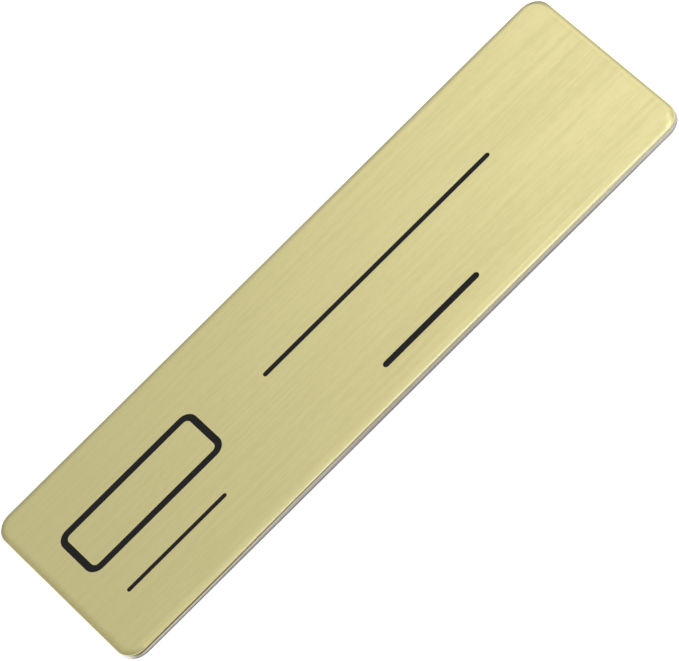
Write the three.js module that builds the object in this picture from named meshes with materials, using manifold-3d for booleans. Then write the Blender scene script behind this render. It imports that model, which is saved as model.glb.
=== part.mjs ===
import * as THREE from 'three';
import { mergeVertices } from 'three/addons/utils/BufferGeometryUtils.js';
import Module from 'manifold-3d';

// Name badge lying face up: a stamped sheet plate, bonded to a flat magnet bar.
// Millimetres, +Z up, +X along the plate and +Y across it, towards its upper long edge.
// The origin is the middle of the magnet bar's underside, which is the face that meets the clothes.

// Plate, sheet metal with its upper edge rolled down by the stamping
const PLATE_LENGTH = 76.2;
const PLATE_WIDTH = 25.4;
const PLATE_THICKNESS = 1.0;
const PLATE_CORNER_RADIUS = 2.2;
const ROLL_WIDTH = 0.85;
const ROLL_DROP = 0.28;

// Magnet bar, one plain strip with its long and short edges rounded off
const BAR_LENGTH = 45;
const BAR_WIDTH = 13;
const BAR_THICKNESS = 1.5;
const BAR_CORNER_RADIUS = 2;
const BAR_EDGE_RADIUS = 0.3;

// The film of glue between the bar and the plate
const BOND_GAP = 0.1;

// Smoothness of the faceted solids
const CORNER_STEPS = 6;
const ROLL_STEPS = 5;
const BAR_EDGE_STEPS = 3;

// How far a cutting block reaches past what it cuts
const CUT_OVERSHOOT = 1;

const PLATE_BOTTOM = BAR_THICKNESS + BOND_GAP;

const GOLD_COAT = { color: 0xd8cf95, roughness: 0.4, metalness: 1 };
const NICKEL = { color: 0xb9b8b2, roughness: 0.35, metalness: 1 };

const wasm = await Module();
wasm.setup();

// A closed geometry as a solid for cutting
function toSolid(geometry) {
  const bare = geometry.index ? geometry.toNonIndexed() : geometry.clone();
  bare.deleteAttribute('normal');
  bare.deleteAttribute('uv');
  const merged = mergeVertices(bare, 1e-5);
  const vertProperties = new Float32Array(merged.attributes.position.array);
  const triVerts = new Uint32Array(merged.index.array);
  return new wasm.Manifold(new wasm.Mesh({ numProp: 3, vertProperties, triVerts }));
}

// The cut solid as a geometry for a mesh
function toGeometry(solid) {
  const cut = solid.getMesh();
  const geometry = new THREE.BufferGeometry();
  geometry.setAttribute('position', new THREE.BufferAttribute(cut.vertProperties, 3));
  geometry.setIndex(new THREE.BufferAttribute(cut.triVerts, 1));
  geometry.computeVertexNormals();
  return geometry;
}

// A rectangle round the origin with its four corners rounded, drawn counterclockwise
function roundedRectangle(length, width, radius) {
  const x = length / 2 - radius;
  const y = width / 2 - radius;
  const quarter = Math.PI / 2;
  const shape = new THREE.Shape();
  shape.absarc(x, y, radius, 0, quarter);
  shape.absarc(-x, y, radius, quarter, 2 * quarter);
  shape.absarc(-x, -y, radius, 2 * quarter, 3 * quarter);
  shape.absarc(x, -y, radius, 3 * quarter, 4 * quarter);
  shape.closePath();
  return shape;
}

// A strip from z = bottom to z = top, whose two rims curve in by edgeWidth over a height of edgeHeight
function roundedStrip({ outline, bottom, top, edgeWidth, edgeHeight, edgeSteps }) {
  const geometry = new THREE.ExtrudeGeometry(outline, {
    depth: top - bottom - 2 * edgeHeight,
    curveSegments: CORNER_STEPS,
    bevelEnabled: true,
    bevelSize: edgeWidth,
    bevelOffset: -edgeWidth,
    bevelThickness: edgeHeight,
    bevelSegments: edgeSteps,
  });
  geometry.translate(0, 0, bottom + edgeHeight);
  return geometry;
}

// The plate: both rims are rolled at first, and the lower one is cut off to leave a sharp flat back
function buildPlate() {
  const strip = roundedStrip({
    outline: roundedRectangle(PLATE_LENGTH, PLATE_WIDTH, PLATE_CORNER_RADIUS),
    bottom: -ROLL_DROP,
    top: PLATE_THICKNESS,
    edgeWidth: ROLL_WIDTH,
    edgeHeight: ROLL_DROP,
    edgeSteps: ROLL_STEPS,
  });
  const cutHeight = ROLL_DROP + CUT_OVERSHOOT;
  const cutter = new THREE.BoxGeometry(
    PLATE_LENGTH + 2 * CUT_OVERSHOOT,
    PLATE_WIDTH + 2 * CUT_OVERSHOOT,
    cutHeight,
  );
  cutter.translate(0, 0, -cutHeight / 2);
  const solid = toSolid(strip).subtract(toSolid(cutter));

  const plate = new THREE.Mesh(toGeometry(solid), new THREE.MeshStandardMaterial(GOLD_COAT));
  plate.name = 'face_plate';
  plate.position.z = PLATE_BOTTOM;
  return plate;
}

// The magnet bar under the middle of the plate
function buildMagnetBar() {
  const strip = roundedStrip({
    outline: roundedRectangle(BAR_LENGTH, BAR_WIDTH, BAR_CORNER_RADIUS),
    bottom: 0,
    top: BAR_THICKNESS,
    edgeWidth: BAR_EDGE_RADIUS,
    edgeHeight: BAR_EDGE_RADIUS,
    edgeSteps: BAR_EDGE_STEPS,
  });

  const bar = new THREE.Mesh(strip, new THREE.MeshStandardMaterial(NICKEL));
  bar.name = 'magnet_bar';
  return bar;
}

const badge = new THREE.Group();
badge.name = 'name_badge';
badge.add(buildPlate());
badge.add(buildMagnetBar());

export default badge;
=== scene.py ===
"""The looks of a name badge: a brushed gold sheet plate on a flat magnet bar, lying face up.

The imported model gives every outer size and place, in metres, with +Z out of the face,
+X along the plate and +Y across it. This script makes the fine surfaces, the printed marks,
the finishes, the studio and the camera.
"""

import logging
import math
from collections.abc import Callable, Mapping, Sequence
from dataclasses import dataclass
from enum import Enum
from functools import reduce

import bmesh
import bpy
from bmesh.types import BMEdge, BMFace, BMesh
from bpy.types import Material, Node, NodeSocket, NodeTree, Object
from mathutils import Matrix, Vector


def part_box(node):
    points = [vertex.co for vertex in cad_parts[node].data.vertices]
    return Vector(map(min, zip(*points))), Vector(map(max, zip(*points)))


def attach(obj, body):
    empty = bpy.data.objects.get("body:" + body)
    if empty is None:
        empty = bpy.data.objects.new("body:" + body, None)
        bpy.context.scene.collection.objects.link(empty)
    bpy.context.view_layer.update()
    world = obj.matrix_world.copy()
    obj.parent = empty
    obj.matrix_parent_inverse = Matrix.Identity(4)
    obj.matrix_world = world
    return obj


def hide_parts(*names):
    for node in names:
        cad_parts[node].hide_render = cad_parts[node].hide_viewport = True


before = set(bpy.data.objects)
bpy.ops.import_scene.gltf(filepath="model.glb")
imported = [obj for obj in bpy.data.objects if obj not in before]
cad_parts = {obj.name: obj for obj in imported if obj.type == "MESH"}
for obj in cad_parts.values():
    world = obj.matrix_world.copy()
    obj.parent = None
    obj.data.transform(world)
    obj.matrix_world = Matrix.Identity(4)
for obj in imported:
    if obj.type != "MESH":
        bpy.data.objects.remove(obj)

MM = 0.001
ROOT_BODY = "root"
PLATE_NODE = "face_plate"
BAR_NODE = "magnet_bar"

# Two corners nearer than this are one, and a height within it is the same height
SAME_PLACE = 0.001 * MM

Colour = tuple[float, float, float]
Size = tuple[float, float]
Feed = NodeSocket | float | Sequence[float]
Feeds = Mapping[str | int, Feed]

# How a mask rises or falls, and the middle and the greater part of a noise's values
RISE: Size = (0.0, 1.0)
FALL: Size = (1.0, 0.0)
NOISE_CORE: Size = (0.35, 0.65)
NOISE_REACH: Size = (0.3, 0.7)

log = logging.getLogger("name_badge")


class GrainRun(Enum):
    """Which way the lines of a grain run, as the turn that lays that way along the pattern's X."""

    ALONG_PLATE = (0.0, 0.0, 0.0)
    UPRIGHT = (0.0, math.pi / 2, 0.0)


class MetalZone(Enum):
    """The material index of each zone of the plate."""

    COATED = 0
    BARE = 1


# Small helpers for meshes and objects


def pick_edges(mesh: BMesh, test: Callable[[BMEdge], bool]) -> list[BMEdge]:
    """Finds the edges that pass a test.

    Args:
        mesh: The mesh to search.
        test: Says whether an edge is wanted.

    Returns:
        The wanted edges.
    """
    return [edge for edge in mesh.edges if test(edge)]


def is_upright(edge: BMEdge) -> bool:
    """Says whether an edge runs straight up."""
    low, high = edge.verts
    return (low.co.xy - high.co.xy).length < SAME_PLACE


def lies_at(edge: BMEdge, height: float) -> bool:
    """Says whether both ends of an edge lie at a height."""
    return all(abs(vert.co.z - height) < SAME_PLACE for vert in edge.verts)


def round_edges(mesh: BMesh, edges: Sequence[BMEdge], radius: float, segments: int) -> None:
    """Rounds edges off with a circular bevel.

    Args:
        mesh: The mesh that holds the edges.
        edges: The edges to round.
        radius: The radius of the rounding.
        segments: How many flats make up the rounding.
    """
    bmesh.ops.bevel(
        mesh,
        geom=list(edges),
        offset=radius,
        offset_type="OFFSET",
        affect="EDGES",
        segments=segments,
        profile=0.5,
        clamp_overlap=False,
        material=-1,
    )


def rounded_block(size: Vector, corner_radius: float, corner_segments: int) -> BMesh:
    """Makes a block round the origin whose four upright edges are rounded.

    Args:
        size: Length, width and height.
        corner_radius: The radius of the upright edges.
        corner_segments: How many flats make up each of them.

    Returns:
        The block as a new mesh.
    """
    mesh = bmesh.new()
    bmesh.ops.create_cube(mesh, size=1.0)
    bmesh.ops.scale(mesh, vec=size, verts=mesh.verts)
    round_edges(mesh, pick_edges(mesh, is_upright), corner_radius, corner_segments)
    return mesh


def flat_faces_at(mesh: BMesh, height: float) -> list[BMFace]:
    """Finds the faces that lie flat at a height."""
    return [face for face in mesh.faces if all(lies_at(edge, height) for edge in face.edges)]


def finish_piece(
    mesh: BMesh,
    name: str,
    materials: Sequence[Material],
    stands_for: str | None = None,
    sharp_degrees: float = 35.0,
) -> Object:
    """Turns a finished mesh into a piece that rides with the badge.

    Args:
        mesh: The mesh, in its place. It is freed.
        name: The piece's name.
        materials: Its materials, in the order of its material indices.
        stands_for: The node that it replaces, if any.
        sharp_degrees: Edges that turn by more than this stay sharp in the shading.

    Returns:
        The new object, at the origin.
    """
    bmesh.ops.recalc_face_normals(mesh, faces=mesh.faces)
    for face in mesh.faces:
        face.smooth = True
    for edge in mesh.edges:
        edge.smooth = edge.calc_face_angle(math.pi) < math.radians(sharp_degrees)
    data = bpy.data.meshes.new(name)
    mesh.to_mesh(data)
    mesh.free()
    for material in materials:
        data.materials.append(material)
    piece = bpy.data.objects.new(name, data)
    bpy.context.scene.collection.objects.link(piece)
    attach(piece, ROOT_BODY)
    if stands_for is not None:
        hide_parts(stands_for)
    log.info("piece %s: %d faces", name, len(data.polygons))
    return piece


# Small helpers for node trees


@dataclass
class NodeSheet:
    """A node tree under construction, with short calls for the nodes that the finishes use."""

    tree: NodeTree

    def node(self, kind: str, feeds: Feeds | None = None, **settings: object) -> Node:
        """Adds a node.

        Args:
            kind: The node's type name.
            feeds: Values or sockets for its inputs, by name or by index.
            **settings: Values for its own properties.

        Returns:
            The new node.
        """
        made = self.tree.nodes.new(kind)
        for key, value in settings.items():
            setattr(made, key, value)
        self.feed(made, feeds or {})
        return made

    def feed(self, node: Node, feeds: Feeds) -> None:
        """Gives inputs of a node their values or links, by name or by index."""
        for key, value in feeds.items():
            self.put(value, node.inputs[key])

    def put(self, value: Feed, target: NodeSocket) -> None:
        """Gives an input a value, or a link where the value is a socket.

        Args:
            value: The value or the socket.
            target: The input.
        """
        if isinstance(value, NodeSocket):
            self.tree.links.new(value, target)
        else:
            target.default_value = value

    def math(self, operation: str, *values: NodeSocket | float) -> NodeSocket:
        """Adds a Math node and gives back its result."""
        made = self.node("ShaderNodeMath", dict(enumerate(values)), operation=operation)
        return made.outputs["Value"]

    def product(self, *values: NodeSocket) -> NodeSocket:
        """Multiplies values with each other."""
        return reduce(lambda product, value: self.math("MULTIPLY", product, value), values)

    def ramp(self, value: NodeSocket, span: Size, results: Size) -> NodeSocket:
        """Maps a value smoothly from one span to another.

        Args:
            value: The value to map.
            span: Where the mapping starts and ends.
            results: What comes out there.

        Returns:
            The mapped value.
        """
        names = ("Value", "From Min", "From Max", "To Min", "To Max")
        feeds = dict(zip(names, (value, *span, *results)))
        made = self.node("ShaderNodeMapRange", feeds, interpolation_type="SMOOTHSTEP")
        return made.outputs["Result"]

    def mask(self, value: NodeSocket, span: Size) -> NodeSocket:
        """Gives a mask that rises smoothly from 0 to 1 over a span."""
        return self.ramp(value, span, RISE)

    def left_to_right(self, along: NodeSocket, reach: float, shares: Size) -> NodeSocket:
        """Gives a share that changes smoothly from the badge's left to its right."""
        return self.ramp(along, (-reach, reach), shares)

    def blend(
        self,
        share: NodeSocket | float,
        first: NodeSocket | Colour,
        second: NodeSocket | Colour,
        way: str = "MIX",
    ) -> NodeSocket:
        """Mixes two colours.

        Args:
            share: How much of the second colour there is.
            first: The colour at a share of 0.
            second: The colour at a share of 1.
            way: How the second colour goes over the first.

        Returns:
            The mixed colour.
        """
        made = self.node("ShaderNodeMix", {"Factor": share}, data_type="RGBA", blend_type=way)
        for value, name in ((first, "A"), (second, "B")):
            target = next(s for s in made.inputs if s.name == name and s.type == "RGBA")
            self.put(value if isinstance(value, NodeSocket) else (*value, 1.0), target)
        return next(s for s in made.outputs if s.type == "RGBA")

    def either(self, share: NodeSocket, first: NodeSocket, second: NodeSocket) -> NodeSocket:
        """Mixes two values, the second one at a share of 1."""
        feeds = {"Factor": share, "A": first, "B": second}
        return self.node("ShaderNodeMix", feeds, data_type="FLOAT").outputs["Result"]

    def noise(self, vector: NodeSocket, detail: float, roughness: float) -> NodeSocket:
        """Adds a noise of scale 1 and gives back its value, which lies round one half."""
        feeds = {"Vector": vector, "Scale": 1.0, "Detail": detail, "Roughness": roughness}
        return self.node("ShaderNodeTexNoise", feeds, noise_dimensions="3D").outputs["Fac"]

    def clouds(
        self, vector: NodeSocket, size: float, detail: float, roughness: float
    ) -> NodeSocket:
        """Adds a noise with round clouds of about the given size."""
        return self.noise(self.scaled(vector, (1.0 / size,) * 3), detail, roughness)

    def scaled(self, vector: NodeSocket, factors: NodeSocket | Sequence[float]) -> NodeSocket:
        """Multiplies a vector by factors for each axis."""
        made = self.node("ShaderNodeVectorMath", {0: vector, 1: factors}, operation="MULTIPLY")
        return made.outputs["Vector"]

    def own_place(self) -> NodeSocket:
        """Gives the piece's own coordinates, in metres."""
        return self.node("ShaderNodeTexCoord").outputs["Object"]

    def turned(self, run: GrainRun) -> NodeSocket:
        """Gives the piece's own coordinates, turned so that the grain runs along X."""
        feeds = {"Vector": self.own_place(), "Rotation": run.value}
        return self.node("ShaderNodeMapping", feeds).outputs["Vector"]

    def place(self, axis: str) -> NodeSocket:
        """Gives each point's place along one of the badge's axes, in metres."""
        return self.node("ShaderNodeSeparateXYZ", {"Vector": self.own_place()}).outputs[axis]

    def group(self, tree: NodeTree, run: GrainRun) -> Node:
        """Adds a node group that takes the piece's own coordinates, turned as asked."""
        return self.node("ShaderNodeGroup", {"Coordinates": self.turned(run)}, node_tree=tree)

    def bump(self, height: NodeSocket, strength: float, distance: float) -> NodeSocket:
        """Adds a Bump node and gives back its normal."""
        feeds = {"Height": height, "Strength": strength, "Distance": distance}
        return self.node("ShaderNodeBump", feeds).outputs["Normal"]


def new_material(name: str) -> tuple[Material, NodeSheet, Node]:
    """Starts a node-based material.

    Args:
        name: The material's name.

    Returns:
        The material, its node sheet and its Principled shader.
    """
    material = bpy.data.materials.new(name)
    material.use_nodes = True
    sheet = NodeSheet(material.node_tree)
    return material, sheet, material.node_tree.nodes["Principled BSDF"]


# Shared effects, each built once as a node group


@dataclass(frozen=True)
class BrushedGrain:
    """Straight brushed lines: a shade round one half and a height, both along the pattern's X.

    Four kinds of line lie over each other, and the length and width of the three others are
    multiples of the long ones'. The stray ones are few and thin, and only lighten the shade.
    """

    group_name: str = "brushed_grain"
    scratch_factors: Size = (0.07, 0.55)
    broad_factors: Size = (2.0, 9.0)
    stray_factors: Size = (2.2, 0.35)
    line_share: float = 0.5
    scratch_share: float = 0.35
    broad_share: float = 0.15
    stray_share: float = 0.14
    stray_span: Size = (0.62, 0.72)

    def build(self) -> NodeTree:
        """Builds the group, with line length and width in metres as inputs.

        Returns:
            The group, which gives the shade of the lines and the height of their ridges.
        """
        tree = bpy.data.node_groups.new(self.group_name, "ShaderNodeTree")
        tree.interface.new_socket("Coordinates", in_out="INPUT", socket_type="NodeSocketVector")
        tree.interface.new_socket("Line Length", in_out="INPUT", socket_type="NodeSocketFloat")
        tree.interface.new_socket("Line Width", in_out="INPUT", socket_type="NodeSocketFloat")
        tree.interface.new_socket("Shade", in_out="OUTPUT", socket_type="NodeSocketFloat")
        tree.interface.new_socket("Ridge", in_out="OUTPUT", socket_type="NodeSocketFloat")
        sheet = NodeSheet(tree)
        given = sheet.node("NodeGroupInput").outputs

        along = sheet.math("DIVIDE", 1.0, given["Line Length"])
        across = sheet.math("DIVIDE", 1.0, given["Line Width"])
        factors = sheet.node("ShaderNodeCombineXYZ", {"X": along, "Y": across, "Z": across})
        lines = sheet.scaled(given["Coordinates"], factors.outputs["Vector"])

        long_lines = sheet.noise(lines, detail=3.0, roughness=0.45)
        scratches = self.other_lines(sheet, lines, self.scratch_factors)
        broad = self.other_lines(sheet, lines, self.broad_factors)
        stray = self.other_lines(sheet, lines, self.stray_factors)
        stray = sheet.ramp(stray, self.stray_span, (0.0, self.stray_share))
        ridge = sheet.math("MULTIPLY", long_lines, self.line_share)
        ridge = sheet.math("MULTIPLY_ADD", scratches, self.scratch_share, ridge)
        shade = sheet.math("MULTIPLY_ADD", broad, self.broad_share, ridge)
        shade = sheet.math("ADD", shade, stray)
        sheet.node("NodeGroupOutput", {"Shade": shade, "Ridge": ridge})
        return tree

    @staticmethod
    def other_lines(sheet: NodeSheet, lines: NodeSocket, factors: Size) -> NodeSocket:
        """Adds lines of another kind.

        Args:
            sheet: The group's node sheet.
            lines: The coordinates of the long lines.
            factors: How many times as long and as wide as those they are.

        Returns:
            Their noise.
        """
        length, width = factors
        drawn = sheet.scaled(lines, (1.0 / length, 1.0 / width, 1.0 / width))
        return sheet.noise(drawn, detail=2.0, roughness=0.5)


@dataclass(frozen=True)
class CoatEdge:
    """The end of the coat at the cut wall: a dark line, dragged down at the ends and the corners.

    Its drag is how far the line's middle lies below the foot of the rolled edge. The core of the
    line and the blur of the coat's foot are measured in half widths of the line. The line is partly
    the coat's own dark edge and partly painted shade: it is strongest at the left end and fades
    towards the right, where more light falls.
    """

    group_name: str = "coat_edge"
    drag_span: Size = (-30.0 * MM, -12.0 * MM)
    drags: Size = (0.145 * MM, -0.02 * MM)
    right_span: Size = (17.0 * MM, 27.0 * MM)
    right_drag: float = 0.05 * MM
    corner_span: Size = (35.9 * MM, 37.3 * MM)
    corner_drag: float = 0.12 * MM
    corner_widening: float = 0.06 * MM
    half_widths: Size = (0.135 * MM, 0.075 * MM)
    line_core: Size = (0.3, 1.0)
    coat_foot_blur: Size = (-0.3, 0.3)
    # Painted shade in part: the line fades from the left end towards the right, where more light
    # falls
    fade_span: Size = (-26.0 * MM, 30.0 * MM)
    strengths: Size = (1.0, 0.25)
    left_fade_span: Size = (-37.5 * MM, -36.6 * MM)
    wave_length: float = 4.0 * MM
    wave_drag: float = 0.06 * MM

    def build(self, coat_foot: float) -> NodeTree:
        """Builds the group, which gives the dark line and all that lies below it as masks.

        Args:
            coat_foot: The height where the rolled edge ends and the cut wall starts.

        Returns:
            The group, with the piece's own coordinates as its input.
        """
        tree = bpy.data.node_groups.new(self.group_name, "ShaderNodeTree")
        tree.interface.new_socket("Coordinates", in_out="INPUT", socket_type="NodeSocketVector")
        tree.interface.new_socket("Line", in_out="OUTPUT", socket_type="NodeSocketFloat")
        tree.interface.new_socket("Below", in_out="OUTPUT", socket_type="NodeSocketFloat")
        sheet = NodeSheet(tree)
        given = sheet.node("NodeGroupInput").outputs["Coordinates"]
        split = sheet.node("ShaderNodeSeparateXYZ", {"Vector": given})
        along, height = split.outputs["X"], split.outputs["Z"]
        corner = sheet.mask(sheet.math("ABSOLUTE", along), self.corner_span)

        wave = sheet.clouds(given, self.wave_length, detail=1.0, roughness=0.5)
        drag = sheet.ramp(along, self.drag_span, self.drags)
        drag = sheet.math("MULTIPLY_ADD", wave, self.wave_drag, drag)
        drag = sheet.math("ADD", drag, sheet.ramp(along, self.right_span, (0.0, self.right_drag)))
        drag = sheet.math("MULTIPLY_ADD", corner, self.corner_drag, drag)

        half_width = sheet.ramp(along, self.drag_span, self.half_widths)
        half_width = sheet.math("MULTIPLY_ADD", corner, self.corner_widening, half_width)
        top = coat_foot + self.wave_drag / 2
        depth = sheet.math("SUBTRACT", sheet.math("SUBTRACT", top, height), drag)
        depth = sheet.math("DIVIDE", depth, half_width)

        line = sheet.product(
            sheet.ramp(sheet.math("ABSOLUTE", depth), self.line_core, FALL),
            sheet.mask(along, self.left_fade_span),
            sheet.ramp(along, self.fade_span, self.strengths),
        )
        below = sheet.mask(depth, self.coat_foot_blur)
        sheet.node("NodeGroupOutput", {"Line": line, "Below": below})
        return tree


@dataclass(frozen=True)
class GrainUse:
    """How one finish uses the brushed grain."""

    run: GrainRun
    line_length: float
    line_width: float

    def add_to(self, sheet: NodeSheet, group: NodeTree) -> Node:
        """Places the grain group in a material.

        Args:
            sheet: The material's node sheet.
            group: The grain's node group.

        Returns:
            The group node.
        """
        made = sheet.group(group, self.run)
        sheet.feed(made, {"Line Length": self.line_length, "Line Width": self.line_width})
        return made


# Finishes. Their pairs of shares are for the badge's left end and its right end, and their pairs
# of roughnesses for the low and the high values of the pattern.


@dataclass(frozen=True)
class BrushedGold:
    """The gold coat of the face and its rolled edge, brushed along the plate.

    Its tone changes in a few places. Along the two long edges it is paler, partly wear and
    partly a painted highlight on the near roll. Painted highlights brighten the near corners and a
    strip just inside the rim of the right end, and painted shade darkens the far edge's roll and
    the rim where it turns round the two far corners.
    """

    grain: GrainUse = GrainUse(GrainRun.ALONG_PLATE, 15.0 * MM, 0.46 * MM)
    light_tone: Colour = (0.722, 0.661, 0.320)
    deep_tone: Colour = (0.688, 0.629, 0.302)
    # Paler along both long edges: partly wear, partly a painted highlight on the near roll
    wear_and_sheen_tone: Colour = (0.74, 0.68, 0.38)
    wear_and_sheen_along: Size = (-35.0 * MM, -13.0 * MM)
    wear_and_sheen_across: Size = (12.3 * MM, 12.65 * MM)
    # A painted highlight tone, for the near corners and the strip inside the right end's rim
    painted_highlight_tone: Colour = (0.88, 0.80, 0.41)
    corner_highlight_along: Size = (35.9 * MM, 36.9 * MM)
    corner_highlight_across: Size = (-12.45 * MM, -11.9 * MM)
    corner_highlight_shares: Size = (0.35, 1.0)
    # A painted highlight strip just inside the right end's rim
    rim_rise: Size = (37.45 * MM, 37.75 * MM)
    rim_fall: Size = (37.8 * MM, 37.95 * MM)
    rim_across: Size = (-12.0 * MM, -11.0 * MM)
    rim_share: float = 0.6
    # Painted shade on the far edge's roll
    far_shade_tone: Colour = (0.60, 0.565, 0.31)
    far_shade_across: Size = (11.9 * MM, 12.4 * MM)
    # Painted shade on the rim where it turns round the two far corners
    turn_shade_tone: Colour = (0.43, 0.395, 0.21)
    turn_middle: Size = (35.9 * MM, 10.5 * MM)
    turn_reach: Size = (1.6 * MM, 1.85 * MM)
    turn_along: Size = (36.0 * MM, 37.0 * MM)
    turn_across: Size = (9.2 * MM, 12.0 * MM)
    turn_shares: Size = (0.5, 0.95)
    line_tone: Colour = (0.16, 0.14, 0.07)
    roughnesses: Size = (0.47, 0.37)
    end_roughness: float = 0.09
    end_along: Size = (37.0 * MM, 37.6 * MM)
    anisotropy: float = 0.55
    bump_strength: float = 0.06
    bump_depth: float = 0.004 * MM

    def build(self, grain_group: NodeTree, coat_edge: NodeTree) -> Material:
        """Builds the material.

        Args:
            grain_group: The brushed grain.
            coat_edge: The dark line where the coat ends.

        Returns:
            The material.
        """
        material, sheet, shader = new_material("brushed_gold")
        grain = self.grain.add_to(sheet, grain_group)
        shade = sheet.mask(grain.outputs["Shade"], NOISE_CORE)
        metal = sheet.blend(shade, self.deep_tone, self.light_tone)
        # Paler long edges: partly wear, partly a painted highlight
        metal = sheet.blend(self.wear_and_sheen(sheet), metal, self.wear_and_sheen_tone)
        # Painted highlight at the near corners
        metal = sheet.blend(self.corner_highlights(sheet), metal, self.painted_highlight_tone)
        # Painted highlight strip at the right end
        metal = sheet.blend(self.right_rim_highlight(sheet), metal, self.painted_highlight_tone)
        # Painted shade on the far edge's roll
        metal = sheet.blend(sheet.mask(sheet.place("Y"), self.far_shade_across), metal, self.far_shade_tone)
        # Painted shade round the two far corners
        metal = sheet.blend(self.far_turn_shade(sheet), metal, self.turn_shade_tone)
        # The coat's dark edge line, partly painted shade that fades towards the right
        line = sheet.group(coat_edge, GrainRun.ALONG_PLATE).outputs["Line"]
        from_middle = sheet.math("ABSOLUTE", sheet.place("X"))
        rough = sheet.ramp(grain.outputs["Shade"], NOISE_REACH, self.roughnesses)
        at_end = sheet.ramp(from_middle, self.end_along, (0.0, self.end_roughness))
        tangent = sheet.node(
            "ShaderNodeTangent", direction_type="UV_MAP", uv_map=FacePlate.GRAIN_MAP
        )
        surface = {
            "Base Color": sheet.blend(line, metal, self.line_tone),
            "Metallic": 1.0,
            "Roughness": sheet.math("ADD", rough, at_end),
            "Anisotropic": self.anisotropy,
            "Tangent": tangent.outputs["Tangent"],
            "Normal": sheet.bump(grain.outputs["Ridge"], self.bump_strength, self.bump_depth),
        }
        sheet.feed(shader, surface)
        return material

    def wear_and_sheen(self, sheet: NodeSheet) -> NodeSocket:
        """Gives the mask of the paler long edges, partly wear and partly a painted highlight on the
        near roll.
        """
        across = sheet.mask(sheet.math("ABSOLUTE", sheet.place("Y")), self.wear_and_sheen_across)
        return sheet.product(across, sheet.mask(sheet.place("X"), self.wear_and_sheen_along))

    def corner_highlights(self, sheet: NodeSheet) -> NodeSocket:
        """Gives the mask of the painted highlights at the near corners.

        Args:
            sheet: The material's node sheet.

        Returns:
            The mask of both corners.
        """
        along = sheet.place("X")
        return sheet.product(
            sheet.mask(sheet.math("ABSOLUTE", along), self.corner_highlight_along),
            sheet.ramp(sheet.place("Y"), self.corner_highlight_across, FALL),
            sheet.left_to_right(along, self.corner_highlight_along[0], self.corner_highlight_shares),
        )

    def right_rim_highlight(self, sheet: NodeSheet) -> NodeSocket:
        """Gives the mask of the painted highlight strip at the right end.

        Args:
            sheet: The material's node sheet.

        Returns:
            The mask of a strip just inside the rim.
        """
        along = sheet.place("X")
        return sheet.product(
            sheet.ramp(along, self.rim_rise, (0.0, self.rim_share)),
            sheet.ramp(along, self.rim_fall, FALL),
            sheet.mask(sheet.place("Y"), self.rim_across),
        )

    def far_turn_shade(self, sheet: NodeSheet) -> NodeSocket:
        """Gives the mask of the painted shade on the rim where it turns round the two far corners.

        Args:
            sheet: The material's node sheet.

        Returns:
            The mask, which follows the distance from the middle of each corner's arc.
        """
        along, across = sheet.place("X"), sheet.place("Y")
        from_middle = sheet.math("ABSOLUTE", along)
        out = sheet.math("SUBTRACT", from_middle, self.turn_middle[0])
        up = sheet.math("SUBTRACT", across, self.turn_middle[1])
        arm = sheet.node("ShaderNodeCombineXYZ", {"X": out, "Y": up}).outputs["Vector"]
        reach = sheet.node("ShaderNodeVectorMath", {0: arm}, operation="LENGTH")
        return sheet.product(
            sheet.mask(reach.outputs["Value"], self.turn_reach),
            sheet.left_to_right(along, self.turn_along[0], self.turn_shares),
            sheet.mask(from_middle, self.turn_along),
            sheet.mask(across, self.turn_across),
        )


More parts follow.
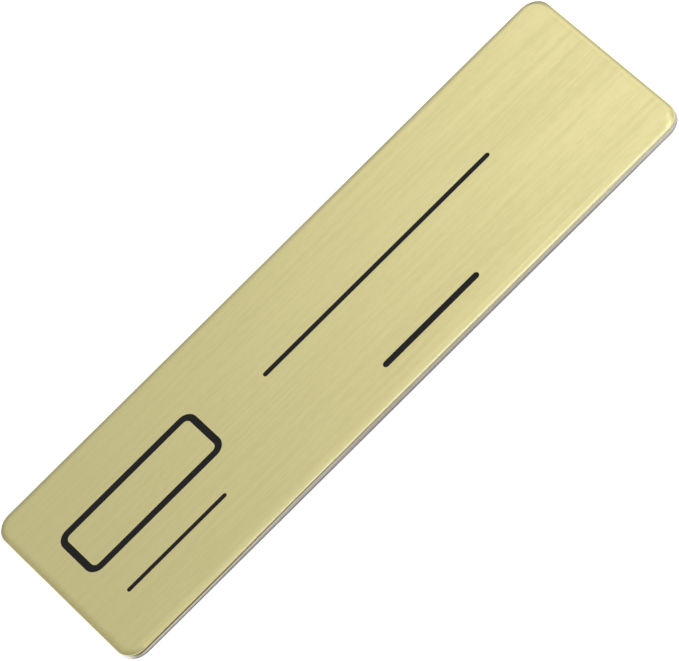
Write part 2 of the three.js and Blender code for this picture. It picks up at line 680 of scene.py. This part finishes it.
@dataclass(frozen=True)
class BareAluminium:
    """The uncoated sheet: upright shear lines on the cut wall, and faint rolling lines on the back.

    The top of the wall still has the coat, where the die dragged it down; it is painted lighter
    towards the right end, where more light falls. Below it lies the shorn band, with painted shade
    round the middle of the plate and painted reflection brighter towards both ends, and then the
    darker torn band, also painted lighter towards the right end. The corners carry painted glints.
    """

    wall_grain: GrainUse = GrainUse(GrainRun.UPRIGHT, 2.0 * MM, 0.09 * MM)
    back_grain: GrainUse = GrainUse(GrainRun.ALONG_PLATE, 14.0 * MM, 0.16 * MM)
    coat_tone: Colour = (0.36, 0.33, 0.165)
    # Lighter towards the right end: painted light, where more light falls
    light_coat_tone: Colour = (0.58, 0.53, 0.29)
    light_coat_span: Size = (0.0, 36.0 * MM)
    line_tone: Colour = (0.096, 0.081, 0.030)
    # The shorn band's tones: painted shade round the middle, painted reflection towards the ends
    shorn_tone: Colour = (0.50, 0.475, 0.395)
    shaded_shorn_tone: Colour = (0.375, 0.35, 0.285)
    left_bright_span: Size = (-34.0 * MM, 0.0)
    right_bright_span: Size = (12.0 * MM, 36.0 * MM)
    bright_share: float = 0.85
    # A painted glint on the wall at the corners
    corner_glint_tone: Colour = (0.82, 0.81, 0.78)
    corner_along: Size = (37.2 * MM, 38.0 * MM)
    corner_across: Size = (9.2 * MM, 11.4 * MM)
    corner_shares: Size = (1.0, 0.2)
    torn_tone: Colour = (0.21, 0.205, 0.197)
    # Lighter towards the right end: painted light, where more light falls
    light_torn_tone: Colour = (0.31, 0.305, 0.295)
    light_torn_span: Size = (28.0 * MM, 36.0 * MM)
    low_tear_span: Size = (24.0 * MM, 28.0 * MM)
    low_tear: float = 0.05 * MM
    wave_length: float = 9.0 * MM
    wave_share: float = 0.18
    back_tone: Colour = (0.60, 0.60, 0.59)
    dark_share: float = 0.78
    tear_blur: float = 0.09 * MM
    back_blur: float = 0.03 * MM
    roughnesses: Size = (0.53, 0.37)
    bump_strength: float = 0.3
    bump_depth: float = 0.005 * MM

    def build(
        self,
        grain_group: NodeTree,
        back_height: float,
        tear_height: float,
        coat_edge: NodeTree,
    ) -> Material:
        """Builds the material.

        Args:
            grain_group: The brushed grain.
            back_height: The height of the plate's back.
            tear_height: The height where the shorn part of the wall meets the torn part.
            coat_edge: The dark line where the coat ends.

        Returns:
            The material.
        """
        material, sheet, shader = new_material("bare_aluminium")
        wall = self.wall_grain.add_to(sheet, grain_group)
        back = self.back_grain.add_to(sheet, grain_group)
        on_wall = sheet.mask(
            sheet.place("Z"), (back_height + SAME_PLACE, back_height + self.back_blur)
        )
        wall_tone = self.wall_tone(sheet, tear_height, coat_edge)
        tone = sheet.blend(on_wall, self.back_tone, wall_tone)
        shade = sheet.either(on_wall, back.outputs["Shade"], wall.outputs["Shade"])
        ridge = sheet.either(on_wall, back.outputs["Ridge"], wall.outputs["Ridge"])
        grey = sheet.ramp(shade, NOISE_REACH, (self.dark_share, 1.0))
        surface = {
            "Base Color": sheet.blend(1.0, tone, grey, "MULTIPLY"),
            "Metallic": 1.0,
            "Roughness": sheet.ramp(shade, NOISE_REACH, self.roughnesses),
            "Normal": sheet.bump(ridge, self.bump_strength, self.bump_depth),
        }
        sheet.feed(shader, surface)
        return material

    def wall_tone(self, sheet: NodeSheet, tear_height: float, coat_edge: NodeTree) -> NodeSocket:
        """Gives the tone of the cut wall.

        Args:
            sheet: The material's node sheet.
            tear_height: The height where the shorn part of the wall meets the torn part.
            coat_edge: The dark line where the coat ends.

        Returns:
            The tone.
        """
        along, height = sheet.place("X"), sheet.place("Z")
        low_tear = sheet.ramp(
            sheet.math("ABSOLUTE", along), self.low_tear_span, (0.0, self.low_tear)
        )
        shorn = sheet.mask(
            sheet.math("ADD", height, low_tear),
            (tear_height - self.tear_blur, tear_height + self.tear_blur),
        )
        # The torn band is painted lighter towards the right end, where more light falls
        at_right = sheet.mask(along, self.light_torn_span)
        torn_tone = sheet.blend(at_right, self.torn_tone, self.light_torn_tone)
        # Shorn band: painted shade round the middle, painted reflection and a random wave towards
        # the ends
        shorn_tone = sheet.blend(self.bright(sheet), self.shaded_shorn_tone, self.shorn_tone)
        tone = sheet.blend(shorn, torn_tone, shorn_tone)

        edge = sheet.group(coat_edge, GrainRun.ALONG_PLATE)
        # The coat on the wall is painted lighter towards the right end, where more light falls
        to_right = sheet.mask(along, self.light_coat_span)
        coat = sheet.blend(to_right, self.coat_tone, self.light_coat_tone)
        tone = sheet.blend(edge.outputs["Below"], coat, tone)
        # The coat's dark edge line, partly painted shade that fades towards the right
        tone = sheet.blend(edge.outputs["Line"], tone, self.line_tone)
        # Painted glints on the wall at the corners
        return sheet.blend(self.corners(sheet), tone, self.corner_glint_tone)

    def bright(self, sheet: NodeSheet) -> NodeSocket:
        """Gives the mask of the brighter parts of the shorn band: a random wave and painted
        reflection.

        Args:
            sheet: The material's node sheet.

        Returns:
            The mask, which waves a little at random and rises towards both ends as painted
            reflection.
        """
        along, place = sheet.place("X"), sheet.turned(GrainRun.ALONG_PLATE)
        at_ends = sheet.math(
            "ADD",
            sheet.ramp(along, self.left_bright_span, (self.bright_share, 0.0)),
            sheet.ramp(along, self.right_bright_span, (0.0, self.bright_share)),
        )
        wave = sheet.clouds(place, self.wave_length, detail=2.0, roughness=0.5)
        return sheet.math("ADD", sheet.ramp(wave, NOISE_CORE, (0.0, self.wave_share)), at_ends)

    def corners(self, sheet: NodeSheet) -> NodeSocket:
        """Gives the mask of the painted glints on the wall at the corners.

        Args:
            sheet: The material's node sheet.

        Returns:
            The mask of all four corners.
        """
        along = sheet.place("X")
        return sheet.product(
            sheet.mask(sheet.math("ABSOLUTE", along), self.corner_along),
            sheet.mask(sheet.math("ABSOLUTE", sheet.place("Y")), self.corner_across),
            sheet.left_to_right(along, self.corner_along[0], self.corner_shares),
        )


@dataclass(frozen=True)
class NickelPlating:
    """The bright plating of the magnet bar, a little cloudy and finely scuffed."""

    scuffs: GrainUse = GrainUse(GrainRun.ALONG_PLATE, 3.0 * MM, 0.12 * MM)
    light_tone: Colour = (0.60, 0.586, 0.548)
    dull_tone: Colour = (0.545, 0.533, 0.50)
    cloud_size: float = 6.0 * MM
    scuffed_span: Size = (0.15, 0.4)
    roughnesses: Size = (0.22, 0.42)
    bump_strength: float = 0.15
    bump_depth: float = 0.004 * MM

    def build(self, grain_group: NodeTree) -> Material:
        """Builds the material.

        Args:
            grain_group: The brushed grain.

        Returns:
            The material.
        """
        material, sheet, shader = new_material("nickel_plating")
        scuffs = self.scuffs.add_to(sheet, grain_group)
        place = sheet.turned(GrainRun.ALONG_PLATE)
        clouds = sheet.clouds(place, self.cloud_size, detail=4.0, roughness=0.55)
        tone = sheet.blend(sheet.mask(clouds, NOISE_CORE), self.dull_tone, self.light_tone)
        scuffed = sheet.product(clouds, scuffs.outputs["Shade"])
        surface = {
            "Base Color": tone,
            "Metallic": 1.0,
            "Roughness": sheet.ramp(scuffed, self.scuffed_span, self.roughnesses),
            "Normal": sheet.bump(scuffs.outputs["Ridge"], self.bump_strength, self.bump_depth),
        }
        sheet.feed(shader, surface)
        return material


@dataclass(frozen=True)
class BlackInk:
    """Flat black printing ink, through which the brushed lines just show as relief."""

    grain: GrainUse = GrainUse(GrainRun.ALONG_PLATE, 15.0 * MM, 0.46 * MM)
    tone: Colour = (0.0075, 0.0067, 0.0066)
    grey_tone: Colour = (0.0125, 0.0115, 0.0112)
    speck_size: float = 0.25 * MM
    speck_span: Size = (0.4, 0.7)
    roughnesses: Size = (0.49, 0.61)
    specular_level: float = 0.15
    bump_strength: float = 0.15
    bump_depth: float = 0.003 * MM

    def build(self, grain_group: NodeTree) -> Material:
        """Builds the material.

        Args:
            grain_group: The brushed grain.

        Returns:
            The material.
        """
        material, sheet, shader = new_material("black_ink")
        grain = self.grain.add_to(sheet, grain_group)
        place = sheet.turned(GrainRun.ALONG_PLATE)
        specks = sheet.clouds(place, self.speck_size, detail=3.0, roughness=0.6)
        tone = sheet.blend(sheet.mask(specks, self.speck_span), self.tone, self.grey_tone)
        surface = {
            "Base Color": tone,
            "Roughness": sheet.ramp(specks, NOISE_REACH, self.roughnesses),
            "Specular IOR Level": self.specular_level,
            "Normal": sheet.bump(grain.outputs["Ridge"], self.bump_strength, self.bump_depth),
        }
        sheet.feed(shader, surface)
        return material


@dataclass(frozen=True)
class GlueFilm:
    """The milky film of glue that shows as a thin line round the bar."""

    tone: Colour = (0.66, 0.65, 0.60)
    deep_tone: Colour = (0.52, 0.51, 0.47)
    cell_size: float = 0.35 * MM
    roughnesses: Size = (0.45, 0.65)
    bump_strength: float = 0.4
    bump_depth: float = 0.01 * MM

    def build(self) -> Material:
        """Builds the material.

        Returns:
            The material.
        """
        material, sheet, shader = new_material("glue_film")
        place = sheet.turned(GrainRun.ALONG_PLATE)
        cells = sheet.clouds(place, self.cell_size, detail=3.0, roughness=0.6)
        surface = {
            "Base Color": sheet.blend(cells, self.deep_tone, self.tone),
            "Roughness": sheet.ramp(cells, NOISE_REACH, self.roughnesses),
            "Normal": sheet.bump(cells, self.bump_strength, self.bump_depth),
        }
        sheet.feed(shader, surface)
        return material


@dataclass(frozen=True)
class PaleFloor:
    """The matt pale top of a light table, which glows a little from below."""

    tone: Colour = (0.88, 0.88, 0.88)
    roughness: float = 0.8
    specular_level: float = 0.2
    glow: float = 0.65

    def build(self) -> Material:
        """Builds the material.

        Returns:
            The material.
        """
        material, sheet, shader = new_material("pale_floor")
        surface = {
            "Base Color": (*self.tone, 1.0),
            "Roughness": self.roughness,
            "Specular IOR Level": self.specular_level,
            "Emission Color": (1.0, 1.0, 1.0, 1.0),
            "Emission Strength": self.glow,
        }
        sheet.feed(shader, surface)
        return material


# The badge's own parts


@dataclass
class FacePlate:
    """The stamped sheet: a brushed face, a rolled upper edge, a cut wall and a flat back."""

    GRAIN_MAP = "grain"

    corner_radius: float = 2.2 * MM
    roll_width: float = 0.85 * MM
    roll_drop: float = 0.28 * MM
    torn_height: float = 0.28 * MM
    torn_inset: float = 0.004 * MM
    back_edge_radius: float = 0.015 * MM
    face_support: float = 0.03 * MM
    corner_segments: int = 28
    roll_segments: int = 14
    back_edge_segments: int = 2

    def __post_init__(self) -> None:
        """Reads the plate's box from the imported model."""
        self.low, self.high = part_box(PLATE_NODE)

    @property
    def coat_foot(self) -> float:
        """The height where the rolled edge meets the cut wall."""
        return self.high.z - self.roll_drop

    @property
    def tear_line(self) -> float:
        """The height where the shorn part of the wall meets the torn part."""
        return self.low.z + self.torn_height

    def build_mesh(self) -> BMesh:
        """Models the plate in its place.

        The roll is wider than it is deep. The block is built that many times taller, so that a
        round bevel becomes the right ellipse when the height is scaled back.

        Returns:
            The mesh, with its zones as material indices.
        """
        size = self.high - self.low
        stretch = self.roll_width / self.roll_drop
        tall = Vector((size.x, size.y, size.z * stretch))
        mesh = rounded_block(tall, self.corner_radius, self.corner_segments)
        rim = pick_edges(mesh, lambda edge: lies_at(edge, tall.z / 2))
        round_edges(mesh, rim, self.roll_width, self.roll_segments)
        bmesh.ops.scale(mesh, vec=(1.0, 1.0, 1.0 / stretch), verts=mesh.verts)
        bmesh.ops.translate(mesh, vec=(self.low + self.high) / 2, verts=mesh.verts)
        self.shear_wall(mesh, size)
        top = flat_faces_at(mesh, self.high.z)
        bmesh.ops.inset_region(mesh, faces=top, thickness=self.face_support, use_even_offset=True)
        self.mark_zones(mesh)
        self.map_grain(mesh)
        return mesh

    def shear_wall(self, mesh: BMesh, size: Vector) -> None:
        """Sets the torn lower part of the wall a little back and eases the back's edge.

        Args:
            mesh: The plate, in its place.
            size: The plate's length, width and thickness.
        """
        bmesh.ops.bisect_plane(
            mesh,
            geom=[*mesh.verts, *mesh.edges, *mesh.faces],
            plane_co=(0.0, 0.0, self.tear_line),
            plane_no=(0.0, 0.0, 1.0),
        )
        foot = [vert for vert in mesh.verts if abs(vert.co.z - self.low.z) < SAME_PLACE]
        inward = (1.0 - 2.0 * self.torn_inset / size.x, 1.0 - 2.0 * self.torn_inset / size.y, 1.0)
        bmesh.ops.scale(mesh, vec=inward, verts=foot)
        rim = pick_edges(mesh, lambda edge: lies_at(edge, self.low.z))
        round_edges(mesh, rim, self.back_edge_radius, self.back_edge_segments)

    def mark_zones(self, mesh: BMesh) -> None:
        """Gives the face and the roll the coat, and the wall and the back the bare metal.

        Args:
            mesh: The plate, in its place.
        """
        for face in mesh.faces:
            coated = face.calc_center_median().z > self.coat_foot - SAME_PLACE
            face.material_index = (MetalZone.COATED if coated else MetalZone.BARE).value

    def map_grain(self, mesh: BMesh) -> None:
        """Lays a flat map over the plate whose U runs across the grain, to direct the shine.

        Args:
            mesh: The plate, in its place.
        """
        layer = mesh.loops.layers.uv.new(self.GRAIN_MAP)
        for face in mesh.faces:
            for loop in face.loops:
                loop[layer].uv = (loop.vert.co.y, loop.vert.co.x)

    def add(self, coated: Material, bare: Material) -> Object:
        """Adds the plate to the scene in place of its node."""
        return finish_piece(
            self.build_mesh(), "badge_plate", [coated, bare], stands_for=PLATE_NODE
        )


@dataclass(frozen=True)
class PrintField:
    """One mark of the print, in millimetres on the face: a rule, or a frame if it has a line."""

    name: str
    middle: Size
    size: Size
    corner_radius: float
    frame_line: float = 0.0


@dataclass(frozen=True)
class PrintedMarks:
    """Plain black marks on the face: an empty frame and ruled lines, as on a blank badge."""

    ink_height: float = 0.01 * MM
    ink_sink: float = 0.01 * MM
    corner_segments: int = 10
    fields: tuple[PrintField, ...] = (
        PrintField("print_frame", (-25.3, 2.0), (18.5, 7.0), 1.4, frame_line=0.8),
        PrintField("print_rule_small", (-26.4, -6.0), (13.6, 0.5), 0.24),
        PrintField("print_rule_long", (7.1, 1.6), (31.4, 0.6), 0.29),
        PrintField("print_rule_short", (6.6, -8.7), (13.1, 0.8), 0.39),
    )

    def build_mesh(self, mark: PrintField, face_height: float) -> BMesh:
        """Models one mark as a thin layer on the face.

        Args:
            mark: The mark to make.
            face_height: The height of the face.

        Returns:
            The mesh, in its place.
        """
        thickness = self.ink_height + self.ink_sink
        length, width = (side * MM for side in mark.size)
        mesh = rounded_block(
            Vector((length, width, thickness)), mark.corner_radius * MM, self.corner_segments
        )
        if mark.frame_line:
            caps = flat_faces_at(mesh, thickness / 2) + flat_faces_at(mesh, -thickness / 2)
            bmesh.ops.inset_individual(
                mesh, faces=caps, thickness=mark.frame_line * MM, use_even_offset=True
            )
            bmesh.ops.delete(mesh, geom=caps, context="FACES_ONLY")
            inner = pick_edges(mesh, lambda edge: edge.is_boundary)
            bmesh.ops.bridge_loops(mesh, edges=inner)
        x, y = (place * MM for place in mark.middle)
        z = face_height + (self.ink_height - self.ink_sink) / 2
        bmesh.ops.translate(mesh, vec=(x, y, z), verts=mesh.verts)
        return mesh

    def add(self, ink: Material, face_height: float) -> list[Object]:
        """Adds every mark to the scene."""
        return [
            finish_piece(self.build_mesh(mark, face_height), mark.name, [ink])
            for mark in self.fields
        ]


@dataclass
class MagnetBar:
    """The plain magnet strip on the back, with its glue film."""

    corner_radius: float = 2.0 * MM
    edge_radius: float = 0.3 * MM
    corner_segments: int = 20
    edge_segments: int = 6
    film_inset: float = 0.4 * MM

    def __post_init__(self) -> None:
        """Reads the bar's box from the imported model."""
        self.low, self.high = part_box(BAR_NODE)

    def build_bar(self) -> BMesh:
        """Models the bar, with both rims rounded.

        Returns:
            The mesh, in its place.
        """
        size = self.high - self.low
        mesh = rounded_block(size, self.corner_radius, self.corner_segments)
        for height in (size.z / 2, -size.z / 2):
            rim = pick_edges(mesh, lambda edge, height=height: lies_at(edge, height))
            round_edges(mesh, rim, self.edge_radius, self.edge_segments)
        bmesh.ops.translate(mesh, vec=(self.low + self.high) / 2, verts=mesh.verts)
        return mesh

    def build_film(self, plate_back: float) -> BMesh:
        """Models the film that fills the gap between the bar and the plate.

        Args:
            plate_back: The height of the plate's back.

        Returns:
            The mesh, in its place.
        """
        inset = self.edge_radius + self.film_inset
        size = self.high - self.low - Vector((2 * inset, 2 * inset, 0.0))
        size.z = plate_back - self.high.z
        mesh = rounded_block(size, self.corner_radius - self.film_inset, self.corner_segments)
        middle = (self.low + self.high) / 2
        middle.z = self.high.z + size.z / 2
        bmesh.ops.translate(mesh, vec=middle, verts=mesh.verts)
        return mesh

    def add(self, plating: Material, glue: Material, plate_back: float) -> list[Object]:
        """Adds the bar and its film to the scene."""
        bar, film = self.build_bar(), self.build_film(plate_back)
        return [
            finish_piece(bar, "magnet_strip", [plating], stands_for=BAR_NODE),
            finish_piece(film, "glue_film", [glue]),
        ]


# The studio and the camera


@dataclass(frozen=True)
class Softbox:
    """A square or oblong soft light that faces a point near the badge."""

    name: str
    place: tuple[float, float, float]
    size: Size
    radiance: float
    target: tuple[float, float, float] = (0.0, 0.0, 0.0)
    tint: Colour = (1.0, 1.0, 1.0)

    def add(self) -> Object:
        """Adds the light to the scene.

        Returns:
            The light's object.
        """
        light = bpy.data.lights.new(self.name, "AREA")
        light.shape = "RECTANGLE"
        light.size, light.size_y = self.size
        light.energy = self.radiance * math.pi * self.size[0] * self.size[1]
        light.color = self.tint
        lamp = bpy.data.objects.new(self.name, light)
        lamp.location = self.place
        lamp.visible_camera = False
        beam = Vector(self.target) - Vector(self.place)
        lamp.rotation_euler = beam.to_track_quat("-Z", "Y").to_euler()
        bpy.context.scene.collection.objects.link(lamp)
        return lamp


@dataclass(frozen=True)
class Studio:
    """A pale floor, an even grey room and large soft lights."""

    floor_size: float = 6.0
    room_tone: Colour = (1.0, 1.0, 1.0)
    room_strength: float = 0.45
    softboxes: tuple[Softbox, ...] = (
        Softbox("front_softbox", (0.15, -0.20, 0.45), (0.35, 0.30), 2.52, tint=(0.89, 0.90, 1.0)),
        Softbox("side_softbox", (0.20, 0.30, 0.45), (0.30, 0.30), 1.62, tint=(0.93, 0.92, 1.0)),
        Softbox("back_softbox", (0.0, 0.25, 0.58), (0.50, 0.30), 0.40),
        Softbox("left_softbox", (-0.27, 0.36, 0.36), (0.36, 0.36), 0.25),
        Softbox("right_softbox", (0.60, 0.0, 0.25), (0.40, 0.40), 1.2),
    )

    def add_floor(self, finish: Material) -> Object:
        """Adds the floor, which isn't part of the badge.

        Args:
            finish: The floor's material.

        Returns:
            The floor's object.
        """
        mesh = bmesh.new()
        bmesh.ops.create_grid(mesh, x_segments=1, y_segments=1, size=self.floor_size / 2)
        data = bpy.data.meshes.new("floor")
        mesh.to_mesh(data)
        mesh.free()
        data.materials.append(finish)
        floor = bpy.data.objects.new("floor", data)
        bpy.context.scene.collection.objects.link(floor)
        return floor

    def light_room(self) -> None:
        """Gives the room its even grey light."""
        world = bpy.data.worlds.new("studio_room")
        world.use_nodes = True
        background = world.node_tree.nodes["Background"]
        background.inputs["Color"].default_value = (*self.room_tone, 1.0)
        background.inputs["Strength"].default_value = self.room_strength
        bpy.context.scene.world = world

    def add(self, finish: Material) -> None:
        """Adds the whole studio.

        Args:
            finish: The floor's material.
        """
        self.add_floor(finish)
        self.light_room()
        for softbox in self.softboxes:
            softbox.add()
        view = bpy.context.scene.view_settings
        view.view_transform = "Standard"
        view.look = "None"


@dataclass(frozen=True)
class PhotoCamera:
    """The camera of the photograph: a long lens, high in front of the badge and rolled.

    The image is 679 pixels wide, and the focal length is the one that the badge's outline in it
    gives, for a sensor 36 mm wide.
    """

    aim_on_face: Size = (-0.223 * MM, -1.205 * MM)
    distance: float = 814.25 * MM
    azimuth: float = -5.46
    elevation: float = 47.692
    roll: float = -40.647
    focal_pixels: float = 8262.8
    image_width: float = 679.0
    sensor_width: float = 36.0
    near_clip_share: float = 0.1
    far_clip: float = 20.0

    def add(self, face_height: float) -> Object:
        """Adds the camera and makes it the scene's own.

        Args:
            face_height: The height of the badge's face, which the camera is aimed at.

        Returns:
            The camera's object.
        """
        azimuth, elevation = math.radians(self.azimuth), math.radians(self.elevation)
        back = Vector(
            (
                math.sin(azimuth) * math.cos(elevation),
                -math.cos(azimuth) * math.cos(elevation),
                math.sin(elevation),
            )
        )
        level_right = Vector((math.cos(azimuth), math.sin(azimuth), 0.0))
        upright = Matrix((level_right, back.cross(level_right), back)).transposed()
        turn = upright.to_4x4() @ Matrix.Rotation(math.radians(self.roll), 4, "Z")
        place = Matrix.Translation(Vector((*self.aim_on_face, face_height)) + back * self.distance)

        lens = bpy.data.cameras.new("photo_camera")
        lens.sensor_width = self.sensor_width
        lens.lens = self.focal_pixels * self.sensor_width / self.image_width
        lens.clip_start = self.near_clip_share * self.distance
        lens.clip_end = self.far_clip
        camera = bpy.data.objects.new("photo_camera", lens)
        camera.matrix_world = place @ turn
        bpy.context.scene.collection.objects.link(camera)
        bpy.context.scene.camera = camera
        return camera


def main() -> None:
    """Builds the badge part by part, then the studio and the camera."""
    logging.basicConfig(level=logging.INFO, format="%(message)s")
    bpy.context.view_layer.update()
    grain = BrushedGrain().build()

    plate = FacePlate()
    coat_edge = CoatEdge().build(plate.coat_foot)
    gold = BrushedGold().build(grain, coat_edge)
    aluminium = BareAluminium().build(grain, plate.low.z, plate.tear_line, coat_edge)
    plate.add(gold, aluminium)
    PrintedMarks().add(BlackInk().build(grain), plate.high.z)
    MagnetBar().add(NickelPlating().build(grain), GlueFilm().build(), plate.low.z)

    Studio().add(PaleFloor().build())
    PhotoCamera().add(plate.high.z)


if __name__ == "__main__":
    main()
